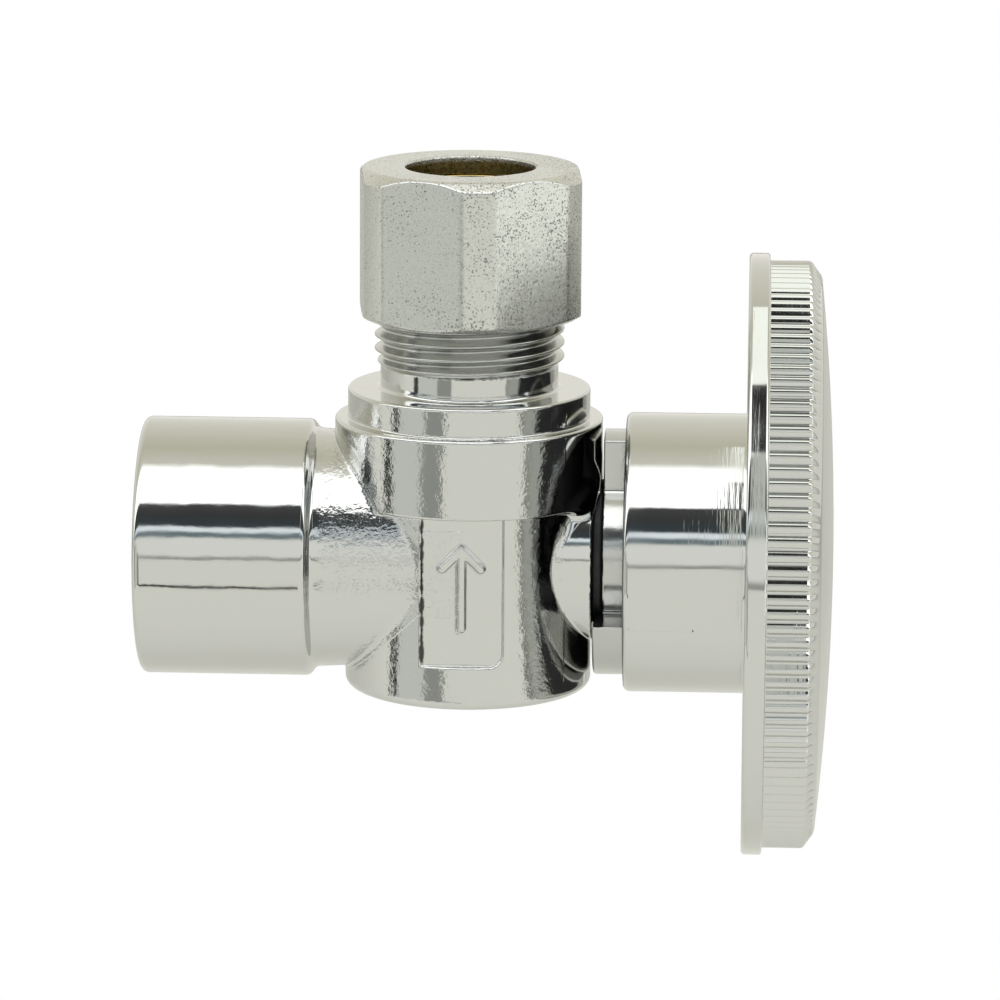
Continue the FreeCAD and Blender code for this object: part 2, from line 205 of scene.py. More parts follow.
def gradient(distance, points, reach):
    slopes = []
    for axis in range(3):
        step = np.zeros(3)
        step[axis] = reach
        ahead = distance(*(points + step).T)
        behind = distance(*(points - step).T)
        slopes.append((ahead - behind) / (2 * reach))
    return np.stack(slopes, axis=1)


def fitted_net(distance, low, high, step):
    """Surface net pulled onto the exact surface, with the surface's own normals."""
    vertices, faces = surface_net(distance, low, high, step)
    for _ in range(4):
        slope = gradient(distance, vertices, step / 8)
        length = np.maximum((slope ** 2).sum(axis=1), 0.25)
        move = slope * (distance(*vertices.T) / length)[:, None]
        vertices = vertices - np.clip(move, -step / 2, step / 2)
    normals = gradient(distance, vertices, step / 6)
    normals /= np.maximum(np.linalg.norm(normals, axis=1), 1e-9)[:, None]
    return vertices, faces, normals


def rounded_profile(corners, arc_steps=6):
    """Points and normals of a closed outline from (along, radius, rounding) corners.

    The outline runs so that the solid lies on its right, as on a lathe drawing read from the left.
    """
    points = []
    normals = []
    count = len(corners)
    for index, (along, radius, rounding) in enumerate(corners):
        here = np.array([along, radius], float)
        before = np.array(corners[index - 1][:2], float) - here
        after = np.array(corners[(index + 1) % count][:2], float) - here
        before /= np.linalg.norm(before)
        after /= np.linalg.norm(after)
        start_normal = np.array([before[1], -before[0]])
        end_normal = np.array([-after[1], after[0]])
        half = math.acos(np.clip(before @ after, -1, 1)) / 2
        if rounding == 0:
            points.append(here)
            normals.append((start_normal + end_normal) / np.linalg.norm(start_normal + end_normal))
            continue
        bisector = (before + after) / np.linalg.norm(before + after)
        centre = here + bisector * rounding / math.sin(half)
        side = 1.0 if start_normal @ bisector < 0 else -1.0
        for step in range(arc_steps + 1):
            share = step / arc_steps
            mixed = start_normal * (1 - share) + end_normal * share
            mixed /= np.linalg.norm(mixed)
            points.append(centre + side * rounding * mixed)
            normals.append(mixed)
    return np.array(points), np.array(normals)


def lathe_about_x(corners, segments, arc_steps=6, radius_shift=None):
    """Closed turned surface about X; radius_shift(along, radius, angle) bends it as it goes round."""
    points, slopes = rounded_profile(corners, arc_steps)
    angles = np.arange(segments) * 2 * math.pi / segments
    along = np.repeat(points[:, :1], segments, axis=1)
    radius = np.repeat(points[:, 1:], segments, axis=1)
    turn = np.repeat(angles[None, :], len(points), axis=0)
    lean = np.zeros_like(radius)
    if radius_shift is not None:
        shift = radius_shift(along, radius, turn)
        radius = radius + shift
        spacing = 2 * math.pi / segments
        lean = (np.roll(shift, -1, axis=1) - np.roll(shift, 1, axis=1)) / (2 * spacing * radius)
    cosine, sine = np.cos(turn), np.sin(turn)
    vertices = np.stack([along, radius * cosine, radius * sine], axis=2).reshape(-1, 3)
    out = slopes[:, 1:]
    tangent = -out * lean
    normals = np.stack([np.repeat(slopes[:, :1], segments, axis=1),
                        out * cosine - tangent * sine,
                        out * sine + tangent * cosine], axis=2).reshape(-1, 3)
    normals /= np.linalg.norm(normals, axis=1)[:, None]
    ring = np.arange(segments)
    following = (ring + 1) % segments
    faces = []
    for row in range(len(points)):
        here = row * segments
        there = (row + 1) % len(points) * segments
        faces.append(np.stack([here + ring, here + following, there + following, there + ring], axis=1))
    return vertices, np.concatenate(faces), normals


def about_outlet(net):
    """The same turned surface, stood up on the outlet axis."""
    vertices, faces, normals = net
    turned = [np.stack([-array[:, 2], array[:, 1], array[:, 0]], axis=1) for array in (vertices, normals)]
    return turned[0] + np.array([barrel_x, 0, 0]), faces, turned[1]


def joined(nets):
    """Several closed surfaces as one."""
    vertices, faces, normals = [], [], []
    first = 0
    for net in nets:
        vertices.append(net[0])
        faces.append(net[1] + first)
        normals.append(net[2])
        first += len(net[0])
    return np.concatenate(vertices), np.concatenate(faces), np.concatenate(normals)


def piece(name, net, body, node, material, marks=None):
    """A Blender piece that stands for one CAD node and moves with its body."""
    vertices, faces, normals = net
    mesh = bpy.data.meshes.new(name)
    mesh.vertices.add(len(vertices))
    mesh.vertices.foreach_set("co", (vertices * MM).ravel())
    mesh.loops.add(faces.size)
    mesh.loops.foreach_set("vertex_index", faces.ravel().astype(np.int32))
    mesh.polygons.add(len(faces))
    mesh.polygons.foreach_set("loop_start", np.arange(0, faces.size, 4, dtype=np.int32))
    mesh.polygons.foreach_set("use_smooth", np.ones(len(faces), dtype=bool))
    mesh.update(calc_edges=True)
    for mark, values in (marks or {}).items():
        attribute = mesh.attributes.new(mark, "FLOAT", "POINT")
        attribute.data.foreach_set("value", values.astype(np.float32))
    mesh.normals_split_custom_set_from_vertices([tuple(normal) for normal in normals])
    mesh.materials.append(material)
    made = bpy.data.objects.new(name, mesh)
    bpy.context.scene.collection.objects.link(made)
    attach(made, body)
    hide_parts(node)
    return made


# Materials --------------------------------------------------------------------------------------
class Finish:
    """A procedural surface: one Principled shader with noise-driven gloss and relief."""

    def __init__(self, name, color, metallic, roughness):
        self.material = bpy.data.materials.new(name)
        self.material.use_nodes = True
        self.tree = self.material.node_tree
        self.shader = self.tree.nodes["Principled BSDF"]
        self.shader.inputs["Base Color"].default_value = (*color, 1)
        self.shader.inputs["Metallic"].default_value = metallic
        self.shader.inputs["Roughness"].default_value = roughness
        self.place = self.tree.nodes.new("ShaderNodeTexCoord").outputs["Object"]
        self.relief = None

    def node(self, kind, inputs=None, **settings):
        made = self.tree.nodes.new(kind)
        for key, value in settings.items():
            setattr(made, key, value)
        for key, value in (inputs or {}).items():
            if isinstance(value, bpy.types.NodeSocket):
                self.tree.links.new(value, made.inputs[key])
            else:
                made.inputs[key].default_value = value
        return made

    def noise(self, size, detail=2.0, stretch=(1, 1, 1)):
        """Noise whose features are about size millimetres across, stretched along the given axes."""
        scaled = self.node("ShaderNodeMapping", {"Vector": self.place, "Scale": stretch})
        made = self.node("ShaderNodeTexNoise", {"Vector": scaled.outputs["Vector"], "Scale": 1 / (size * MM),
                                                "Detail": detail})
        return made.outputs["Fac"]

    def blend(self, share, first, second):
        """Colour between two colours, or between a colour node's output and a colour."""
        made = self.node("ShaderNodeMix", data_type="RGBA")
        self.tree.links.new(share, made.inputs["Factor"])
        for socket, value in ((made.inputs[6], first), (made.inputs[7], second)):
            if isinstance(value, bpy.types.NodeSocket):
                self.tree.links.new(value, socket)
            else:
                socket.default_value = (*value, 1)
        return made.outputs[2]

    def mark(self, name):
        return self.node("ShaderNodeAttribute", attribute_name=name).outputs["Fac"]

    def spread(self, value, low, high, to_low, to_high):
        made = self.node("ShaderNodeMapRange", {"Value": value, "From Min": low, "From Max": high,
                                                "To Min": to_low, "To Max": to_high})
        return made.outputs["Result"]

    def math(self, operation, first, second):
        return self.node("ShaderNodeMath", {0: first, 1: second}, operation=operation).outputs["Value"]

    def raise_by(self, height, depth, strength=1.0):
        """Adds relief of the given depth in millimetres."""
        inputs = {"Height": height, "Distance": depth * MM, "Strength": strength}
        if self.relief is not None:
            inputs["Normal"] = self.relief
        self.relief = self.node("ShaderNodeBump", inputs).outputs["Normal"]
        self.tree.links.new(self.relief, self.shader.inputs["Normal"])

    def set(self, name, value):
        self.tree.links.new(value, self.shader.inputs[name])


chrome_color = (0.600, 0.606, 0.590)
brass_color = (0.62, 0.45, 0.19)
# A darker copy of the brass colour: painted shade for the inside of the nut.
shaded_brass_color = (0.34, 0.30, 0.14)


def painted_edge_shade(finish):
    """Share of a broken dark line of painted shade down the left edge of the panel, where its low wall
    stands.
    """
    axes = finish.node("ShaderNodeSeparateXYZ", {"Vector": finish.place}).outputs
    aside = finish.math("ABSOLUTE", finish.math("SUBTRACT", axes["X"], (barrel_x - panel_left) * MM), 0.0)
    wander = finish.spread(finish.noise(0.7, 4.0), 0.36, 0.66, 0.03 * MM, 0.20 * MM)
    line = finish.spread(finish.math("SUBTRACT", wander, aside), -0.05 * MM, 0.05 * MM, 0.0, 1.0)
    middle = (collar_bottom + panel_bottom) / 2
    height = finish.math("ABSOLUTE", finish.math("SUBTRACT", axes["Z"], middle * MM), 0.0)
    reach = (collar_bottom - panel_bottom) / 2
    level = finish.spread(height, (reach - 0.3) * MM, reach * MM, 1.0, 0.0)
    front = finish.spread(axes["Y"], -8.1 * MM, -7.9 * MM, 1.0, 0.0)
    return finish.math("MULTIPLY", finish.math("MULTIPLY", line, level), front)


def body_chrome():
    """Polished plate: pebbled where the forging mark says so, duller and darker on satin parts."""
    finish = Finish("body chrome", chrome_color, 1.0, 0.08)
    forged = finish.mark("forged")
    satin = finish.mark("satin")
    film = finish.math("ADD", finish.noise(3.0, 2.0), finish.math("MULTIPLY", forged, 0.35))
    gloss = finish.spread(film, 0.3, 1.1, 0.045, 0.15)
    finish.set("Roughness", finish.math("ADD", gloss, finish.math("MULTIPLY", satin, 0.20)))
    plated = finish.blend(satin, chrome_color, (0.40, 0.41, 0.39))
    # The panel's left edge gets a near-black line: painted shade of the low wall there.
    finish.set("Base Color", finish.blend(painted_edge_shade(finish), plated, (0.07, 0.07, 0.065)))
    finish.raise_by(finish.math("MULTIPLY", finish.noise(0.24, 2.0), forged), 0.030)
    finish.raise_by(finish.math("MULTIPLY", finish.noise(0.8, 1.5), forged), 0.045)
    finish.raise_by(finish.noise(2.2, 1.0), 0.022)
    finish.raise_by(finish.noise(0.16, 2.0), 0.0012)
    return finish.material


def handle_chrome():
    """Polished plate over fine turning marks; the cast back of the wheel is dull, and painted near-black as
    painted shade.
    """
    finish = Finish("handle chrome", chrome_color, 1.0, 0.08)
    back = finish.mark("dull_shaded_back")
    film = finish.spread(finish.noise(4.0, 2.0), 0.3, 0.7, 0.045, 0.11)
    finish.set("Roughness", finish.math("ADD", film, finish.math("MULTIPLY", back, 0.38)))
    # The dull back, the hub's end and the hub's inside are painted near-black: painted shade on a dull cast
    # finish.
    finish.set("Base Color", finish.blend(back, chrome_color, (0.045, 0.046, 0.048)))
    finish.raise_by(finish.noise(3.0, 2.0, (14, 1, 1)), 0.005)
    finish.raise_by(finish.noise(2.5, 1.0), 0.012)
    finish.raise_by(finish.math("MULTIPLY", finish.noise(0.4, 3.0), back), 0.03)
    return finish.material


def nut_chrome():
    """Satin plate over as-machined brass, with small dark pits that grow denser towards the wheel side as
    painted shade; bare brass inside, painted a darker brass as painted shade.
    """
    finish = Finish("nut chrome", (0.64, 0.64, 0.61), 1.0, 0.25)
    bare_shaded = finish.mark("bare_shaded")
    grain = finish.noise(0.30, 3.0)
    cluster = finish.noise(3.5, 2.0)
    side = finish.node("ShaderNodeSeparateXYZ", {"Vector": finish.place}).outputs["X"]
    # The pits grow denser towards the wheel side, which darkens that side: painted shade.
    lean = finish.spread(side, (barrel_x - 8) * MM, (barrel_x + 8) * MM, 0.035, -0.030)
    speck = finish.math("ADD", finish.noise(0.15, 1.5), finish.math("MULTIPLY", cluster, 0.30))
    pit = finish.spread(finish.math("ADD", speck, lean), 0.470, 0.550, 1.0, 0.0)
    pit = finish.math("MULTIPLY", pit, finish.math("SUBTRACT", 1.0, bare_shaded))
    plated = finish.blend(pit, (0.62, 0.625, 0.595), (0.24, 0.245, 0.23))
    # The nut's inside takes the darker brass: painted shade.
    finish.set("Base Color", finish.blend(bare_shaded, plated, shaded_brass_color))
    finish.set("Roughness", finish.spread(grain, 0.3, 0.75, 0.22, 0.36))
    finish.raise_by(pit, -0.012)
    finish.raise_by(grain, 0.018)
    finish.raise_by(finish.noise(2.4, 1.0), 0.02)
    return finish.material


def bare_brass():
    finish = Finish("bare brass", brass_color, 1.0, 0.25)
    finish.set("Roughness", finish.spread(finish.noise(0.8, 3.0), 0.3, 0.7, 0.18, 0.34))
    finish.raise_by(finish.noise(2.0, 2.0, (1, 1, 14)), 0.006)
    return finish.material


def ball_chrome():
    finish = Finish("ball chrome", (0.62, 0.62, 0.615), 1.0, 0.04)
    finish.set("Roughness", finish.spread(finish.noise(1.5, 2.0), 0.3, 0.7, 0.03, 0.07))
    return finish.material


def plated_steel():
    finish = Finish("zinc plated steel", (0.52, 0.52, 0.50), 1.0, 0.3)
    finish.set("Roughness", finish.spread(finish.noise(0.5, 3.0), 0.3, 0.7, 0.22, 0.42))
    finish.raise_by(finish.noise(0.25, 3.0), 0.004)
    return finish.material


def white_ptfe():
    finish = Finish("white ptfe", (0.84, 0.84, 0.80), 0.0, 0.45)
    finish.set("Roughness", finish.spread(finish.noise(0.7, 2.0), 0.3, 0.7, 0.38, 0.55))
    finish.raise_by(finish.noise(0.3, 2.0), 0.004)
    return finish.material


def seal_rubber():
    finish = Finish("nitrile rubber", (0.018, 0.018, 0.020), 0.0, 0.5)
    finish.set("Roughness", finish.spread(finish.noise(0.4, 2.0), 0.3, 0.7, 0.40, 0.60))
    finish.raise_by(finish.noise(0.2, 2.0), 0.004)
    return finish.material


materials = {
    "body_chrome": body_chrome(),
    "nut_chrome": nut_chrome(),
    "handle_chrome": handle_chrome(),
    "ball_chrome": ball_chrome(),
    "bare_brass": bare_brass(),
    "ptfe": white_ptfe(),
    "seal_rubber": seal_rubber(),
    "plated_steel": plated_steel(),
}
node_slots = {entry["node"]: entry["material_slot"] for entry in frame["record"]["subparts"]}
for node_name, node_object in frame["nodes"].items():
    for slot in node_object.material_slots:
        slot.material = materials[node_slots[node_name]]


# Valve body -------------------------------------------------------------------------------------
cup_r = 9.75
cup_end = 13.06
neck_root_r = 9.07
neck_r = 8.76
neck_taper = 6
barrel_r = 9.32
collar_r = 10.10
collar_top = 10.38
ring_r = 9.13
ring_top = 12.60
stub_neck_r = 6.70
thread_bottom = 14.40
stub_top = body_high[2]
tube_stop = outlet["pos_m"][2] / MM - 0.4
cone_mouth_r = 6.03
passage_r = 2.4
inlet_passage_r = 2.7
seat_pocket_r = 3.17
seat_pocket_top = 5.62
chamber_start = 19.20
chamber_end = 29.85
chamber_r = 4.90
boss_r = 6.65
boss_end = bonnet_low[0] + 4.25
neck_groove_r = 5.70
boss_bore_r = 5.20
panel_half_width = 3.00
panel_y = -8.66
mark_height = 0.30
mark_stroke = 0.31


def stroke(u, v, start, end, half):
    """Distance to a straight stroke with round ends."""
    along = np.array(end, float) - start
    share = ((u - start[0]) * along[0] + (v - start[1]) * along[1]) / (along @ along)
    share = np.clip(share, 0, 1)
    return np.hypot(u - start[0] - share * along[0], v - start[1] - share * along[1]) - half


def flow_arrow(x, y, z):
    """Raised arrow that points to the outlet."""
    u = x - barrel_x + 0.1
    flat = stroke(u, z, (0, -4.1), (0, 1.9), mark_stroke)
    for side in (-1, 1):
        flat = np.minimum(flat, stroke(u, z, (0, 1.9), (side * 1.45, 0.45), mark_stroke))
    return np.maximum(smooth_max(flat, panel_y - mark_height - y, 0.2), y - panel_y - 1.5)


def panel(x, y, z):
    """Flat on the front of the barrel: open at the collar, with a low wall on the other sides."""
    u = x - barrel_x - panel_half_width + 1.0
    v = panel_bottom + 1.0 - z
    corner = np.hypot(np.maximum(u, 0), np.maximum(v, 0)) + np.minimum(np.maximum(u, v), 0) - 1.0
    window = np.maximum(corner, barrel_x - panel_left - x)
    return smooth_max(np.maximum(window, z - collar_bottom + 0.05), y - panel_y, 0.1)


def boss_fillet(z):
    """Size of the fillet between boss and barrel, which widens towards the collar."""
    return 0.25 + 1.5 * np.clip((z - 1.5) / 3, 0, 1)


def body_outside(x, y, z):
    about_x = np.hypot(y, z)
    about_z = np.hypot(x - barrel_x, y)
    cup = capped(x, about_x, 0, cup_end, cup_r, 0.6)
    share = np.clip((x - cup_end) / neck_taper, 0, 1)
    neck = np.maximum(about_x - neck_root_r + (neck_root_r - neck_r) * share,
                      np.maximum(x - barrel_x, cup_end - 2 - x))
    barrel = capped(z, about_z, body_low[2], collar_bottom + 1, barrel_r, 0.7)
    collar = capped(z, about_z, collar_bottom, collar_top, collar_r, 0.24)
    ring = capped(z, about_z, collar_top - 2, ring_top, ring_r, 0.20)
    stub = capped(z, about_z, ring_top - 2, thread_bottom, stub_neck_r)
    boss = capped(x, about_x, barrel_x, boss_end, boss_r, 0.1)
    upright = smooth_min(smooth_min(barrel, collar, 0.2), smooth_min(ring, stub, 0.3), 0.15)
    solid = smooth_min(upright, smooth_min(cup, neck, 0.5), 0.22)
    solid = smooth_min(solid, boss, boss_fillet(z))
    return smooth_max(solid, x - barrel_x - collar_r, 0.06)


def body_shape(x, y, z):
    about_x = np.hypot(y, z)
    about_z = np.hypot(x - barrel_x, y)
    solid = smooth_max(body_outside(x, y, z), -panel(x, y, z), 0.2)
    solid = smooth_min(solid, flow_arrow(x, y, z), 0.2)
    waterways = [
        capped(x, about_x, -5, socket_depth, socket_r),
        capped(x, about_x, socket_depth - 1, chamber_start + 1, inlet_passage_r),
        capped(x, about_x, chamber_start, chamber_end + 1, chamber_r),
        capped(x, about_x, chamber_end, boss_end + 5, boss_bore_r),
        capped(z, about_z, 0, seat_pocket_top, seat_pocket_r),
        capped(z, about_z, 0, thread_bottom + 5, passage_r),
    ]
    for waterway in waterways:
        solid = smooth_max(solid, -waterway, 0.3)
    return np.maximum(solid, -capped(x, about_x, boss_end, boss_end + 5, neck_groove_r))


def stub_shape(x, y, z):
    """Threaded stub, its tube socket and the cone that seats the sleeve."""
    radial = np.hypot(x - barrel_x, y)
    ridged = thread(x, y, z, 0.0, 0.08)
    top_chamfer = (radial - thread_minor_r + z - stub_top) / math.sqrt(2)
    run_out = (radial - stub_neck_r - z + thread_bottom) / math.sqrt(2)
    foot = np.maximum(run_out, thread_bottom - 0.1 - z)
    solid = smooth_max(smooth_max(ridged, top_chamfer, 0.1), foot, 0.1)
    solid = np.minimum(solid, capped(z, radial, thread_bottom - 0.6, thread_bottom + 0.3, stub_neck_r - 0.12))
    solid = smooth_max(solid, z - stub_top, 0.15)
    mouth = (radial - cone_mouth_r - z + stub_top) / math.sqrt(2)
    hollow = np.minimum(capped(z, radial, tube_stop, stub_top + 5, tube_socket_r),
                        np.maximum(mouth, stub_top - 1.5 - z))
    hollow = np.minimum(hollow, capped(z, radial, 0, tube_stop + 1, passage_r))
    return smooth_max(solid, -hollow, 0.12)


def forged_mark(vertices):
    """How far the plate follows the forging: fully on the neck, in part on the barrel and its rings."""
    x, y, z = vertices.T
    about_x = np.hypot(y, z)
    neck = np.clip((x - cup_end - 0.4) / 0.8, 0, 1) * (x < barrel_x) * (about_x < neck_root_r + 0.2)
    barrel = np.clip((ring_top - z) / 0.3, 0, 1) * (x > barrel_x - 10.2) * (x < boss_end - 2) * 0.45
    return np.clip(np.maximum(neck, barrel), 0.03, 1)


body_net = fitted_net(body_shape, (-0.4, -10.5, body_low[2] - 0.4),
                      (boss_end + 0.7, 10.5, thread_bottom + 0.3), 0.14)
stub_net = fitted_net(stub_shape, (barrel_x - 7.4, -7.4, thread_bottom - 0.8),
                      (barrel_x + 7.4, 7.4, stub_top + 0.2), 0.095)
body_surface = joined([body_net, stub_net])
threaded = 0.6 * np.clip((body_surface[0][:, 2] - thread_bottom) / 0.4, 0, 1)
piece("forged_body", body_surface, "valve", "valve_body", materials["body_chrome"],
      {"forged": forged_mark(body_surface[0]), "satin": threaded})


# Bonnet -----------------------------------------------------------------------------------------
bonnet_neck_r = 5.60
seal_groove_r = 4.60
lug_start = boss_end + 0.10
flange_start = boss_end + 0.75
flange_end = boss_end + 4.25
flange_r = bonnet_high[2]
stop_wall_y = 2.30
stop_wall_z = 3.90
stem_bore_r = 2.65
thrust_pocket_r = 3.45
thrust_pocket_depth = 1.83
gland_r = 5.0


def bonnet_shape(x, y, z):
    """Turned bonnet whose flange has two square notches and reaches back over the seal below."""
    radial = np.hypot(y, z)
    flange = capped(x, radial, lug_start, flange_end, flange_r, 0.28)
    front_notch = np.maximum(y + stop_wall_y, -stop_wall_z - z)
    back_notch = np.maximum(stop_wall_y - y, z - stop_wall_z)
    flange = smooth_max(smooth_max(flange, -front_notch, 0.2), -back_notch, 0.2)
    reach = np.maximum(z + stop_wall_z, bonnet_neck_r + 0.02 - radial)
    flange = smooth_max(flange, np.minimum(reach, flange_start - x), 0.12)
    flange = np.maximum(flange, np.where(x < flange_start, bonnet_neck_r + 0.02 - radial, -1.0))
    neck = capped(x, radial, flange_start, flange_end, bonnet_neck_r, 0.12)
    shank = capped(x, radial, bonnet_low[0], boss_end, boss_bore_r - 0.03, 0.2)
    core = capped(x, radial, boss_end - 1, flange_start + 1, seal_groove_r)
    gland = capped(x, radial, flange_end - 1, bonnet_high[0], gland_r, 0.3)
    solid = smooth_min(smooth_min(flange, neck, 0.3), smooth_min(gland, core, 0.05), 0.1)
    solid = np.minimum(solid, shank)
    pocket = capped(x, radial, bonnet_low[0] - 1, bonnet_low[0] + thrust_pocket_depth, thrust_pocket_r)
    return np.maximum(solid, -np.minimum(radial - stem_bore_r, pocket))


bonnet_net = fitted_net(bonnet_shape, bonnet_low - 0.4, bonnet_high + 0.4, 0.12)
piece("notched_bonnet", bonnet_net, "valve", "bonnet", materials["body_chrome"],
      {"forged": np.full(len(bonnet_net[0]), 0.2), "satin": np.full(len(bonnet_net[0]), 0.45)})


# Handle -----------------------------------------------------------------------------------------
hub_r = 10.57
hub_start = wheel_low[0]
cavity_r = 9.72
cavity_end = hub_start + 5.06
wheel_r = wheel_high[2] - 0.01
wheel_back = hub_start + 9.07
bead_end = wheel_back + 1.56
knurl_end = wheel_back + 4.64
face_start = wheel_back + 5.49
face_r = 20.90
knurl_r = wheel_r - 0.55
knurl_count = 132
knurl_depth = 0.34
knurl_steps = 8
knurl_crest = 0.36
shaded_back_r = 15.0
polished_back_r = 16.2
dome_rise = cap_high[0] - face_start
cap_r = cap_high[2]
cap_seat = cap_low[0] + 1.0
cap_gap = 0.08
cap_rise = 0.12
well_r = 3.90
well_floor = cap_seat - 2.50
screw_hole_r = 1.75
stem_hole_r = 2.62
tab_start = hub_start + 0.36
tab_inner_r = 5.90


def knurl(along, radius, angle):
    """Ridges with round crests and straight flanks, fading out over the rim's corner."""
    share = np.abs((angle * knurl_count / (2 * math.pi)) % 1 - 0.5) * 2
    flank = (np.hypot(share, knurl_crest) - knurl_crest) / (math.hypot(1, knurl_crest) - knurl_crest)
    fade = np.clip((radius - knurl_r + 0.75) / 0.55, 0, 1) * (along > bead_end + 0.04) * (along < face_start)
    return -knurl_depth * fade * flank


def wheel_outline():
    dome = [(face_start + dome_rise * (1 - share * share), face_r * share, 0)
            for share in np.linspace(0.97, 0.36, 10)]
    recess_r = cap_r + cap_gap
    lip = face_start + dome_rise * (1 - (recess_r / face_r) ** 2)
    return [
        (hub_start, cavity_r, 0.12), (hub_start, hub_r, 0.5), (wheel_back + 0.5, hub_r, 0.7),
        (wheel_back + 0.60, shaded_back_r, 0), (wheel_back + 0.63, polished_back_r, 0),
        (wheel_back + 0.75, 20.6, 0.3),
        (wheel_back, 21.4, 0.3), (wheel_back, wheel_r, 0.3),
        (bead_end, wheel_r, 0.2), (bead_end, knurl_r, 0.04), (bead_end + 0.06, knurl_r, 0),
        (knurl_end - 0.4, knurl_r - 0.001, 0), (knurl_end, knurl_r, 0.35),
        (face_start, face_r + 0.1, 0.8), *dome,
        (lip, recess_r, 0.08), (cap_seat, recess_r, 0.05), (cap_seat, well_r, 0.1),
        (well_floor, well_r, 0.1), (well_floor, screw_hole_r, 0.05), (well_floor - 1, screw_hole_r, 0.05),
        (well_floor - 1, stem_hole_r, 0.05), (cavity_end, stem_hole_r, 0.1), (cavity_end, cavity_r, 0.3),
    ]


wheel_net = lathe_about_x(wheel_outline(), knurl_count * knurl_steps, 6, knurl)


def stop_tab_shape(x, y, z):
    """Tab inside the hub that stops against the walls of the bonnet's front notch."""
    return slab(x, y, z, (tab_start, -cavity_r - 0.25, 0.05 - stop_wall_z),
                (cavity_end + 0.3, -tab_inner_r, -stop_wall_y - 0.05), 0.15)


tab_net = fitted_net(stop_tab_shape, (hub_start, -cavity_r - 0.6, -stop_wall_z - 0.3),
                     (cavity_end + 0.6, -5.6, -stop_wall_y + 0.3), 0.16)
wheel_surface = joined([wheel_net, tab_net])


def dull_shaded_back_mark(net):
    """1 on the wheel's inner back and inside the hub, where the casting is dull and is painted near-black as
    painted shade; less on the hub's end.
    """
    along, out = net[0][:, 0], np.hypot(net[0][:, 1], net[0][:, 2])
    shaded_back_limit = shaded_back_r + 0.5
    back = (net[2][:, 0] < -0.5) & (out > hub_r) & (out < shaded_back_limit) & (along > wheel_back)
    inside = (out < cavity_r + 0.01) & (along < cavity_end + 0.01)
    lip = (net[2][:, 0] < -0.5) & (along < hub_start + 0.1)
    return np.maximum(back | inside, 0.75 * lip)


piece("knurled_wheel", wheel_surface, "handle", "handle_wheel", materials["handle_chrome"],
      {"dull_shaded_back": dull_shaded_back_mark(wheel_surface)})


def cap_shape(x, y, z):
    radial = np.hypot(y, z)
    dome_r = (cap_r ** 2 + cap_rise ** 2) / (2 * cap_rise)
    dome = np.sqrt((x - cap_high[0] + dome_r) ** 2 + radial ** 2) - dome_r
    disc = smooth_max(capped(x, radial, cap_seat + 0.05, cap_high[0] + 1, cap_r), dome, 0.12)
    plug = np.maximum(capped(x, radial, cap_low[0], cap_seat + 0.3, well_r - 0.06, 0.1), 3.2 - radial)
    return smooth_min(disc, plug, 0.1)


cap_net = fitted_net(cap_shape, cap_low - 0.3, cap_high + 0.3, 0.11)
piece("domed_cap", cap_net, "handle", "index_cap", materials["handle_chrome"],
      {"dull_shaded_back": np.zeros(len(cap_net[0]))})


# Compression nut and sleeve -----------------------------------------------------------------------
nut_across = 16.25
nut_corner_r = 8.77
nut_angle = -83.3
nut_hole_r = 4.89
nut_thread_top = nut_low[2] + 6.55
nut_cone_top = nut_low[2] + 9.90
nut_cone_r = 5.25
nut_space_r = 6.30
nut_top_chamfer = (0.68, 0.80)
nut_bottom_chamfer = (0.45, 0.75)
nut_cone_slope = (1.85, 1.05)
sleeve_bore_r = 4.82
sleeve_end_r = 5.20
sleeve_r = 5.95
sleeve_taper = 1.3


def nut_shape(x, y, z):
    radial = np.hypot(x - barrel_x, y)
    bar = hexagon(x - barrel_x, y, nut_across, nut_angle, 0.12)
    bar = smooth_max(bar, radial - nut_corner_r, 0.12)
    top = sloped(radial - nut_across / 2 + 0.15, z - nut_high[2], *nut_top_chamfer)
    bottom = sloped(radial - nut_across / 2 + 0.10, nut_low[2] - z, *nut_bottom_chamfer)
    bar = smooth_max(smooth_max(bar, top, 0.12), bottom, 0.12)
    bar = smooth_max(bar, np.maximum(z - nut_high[2], nut_low[2] - z), 0.12)
    cone = sloped(radial - nut_cone_r, z - nut_cone_top, *nut_cone_slope)
    hollows = [
        np.maximum(thread(x, y, z, 0.10, 0.1), z - nut_thread_top),
        (radial - thread_major_r - 0.2 + z - nut_low[2]) / math.sqrt(2),
        np.maximum(capped(z, radial, nut_thread_top - 0.3, nut_cone_top, nut_space_r), cone),
        capped(z, radial, nut_low[2] + 5, nut_high[2] + 5, nut_hole_r),
    ]
    for hollow in hollows:
        bar = smooth_max(bar, -hollow, 0.15)
    return bar


nut_net = fitted_net(nut_shape, nut_low - 0.4, nut_high + 0.4, 0.13)
nut_radial = np.hypot(nut_net[0][:, 0] - barrel_x, nut_net[0][:, 1])
nut_facing_in = (nut_net[0][:, 0] - barrel_x) * nut_net[2][:, 0] + nut_net[0][:, 1] * nut_net[2][:, 1] < 0
nut_facing_in &= nut_net[0][:, 2] < nut_high[2] - 0.35
# The nut's inside below its top is marked bare, and its material paints it a darker brass as painted shade.
piece("hex_nut", nut_net, "nut", "compression_nut", materials["nut_chrome"],
      {"bare_shaded": (nut_facing_in & (nut_radial < thread_major_r + 0.2)).astype(float)})

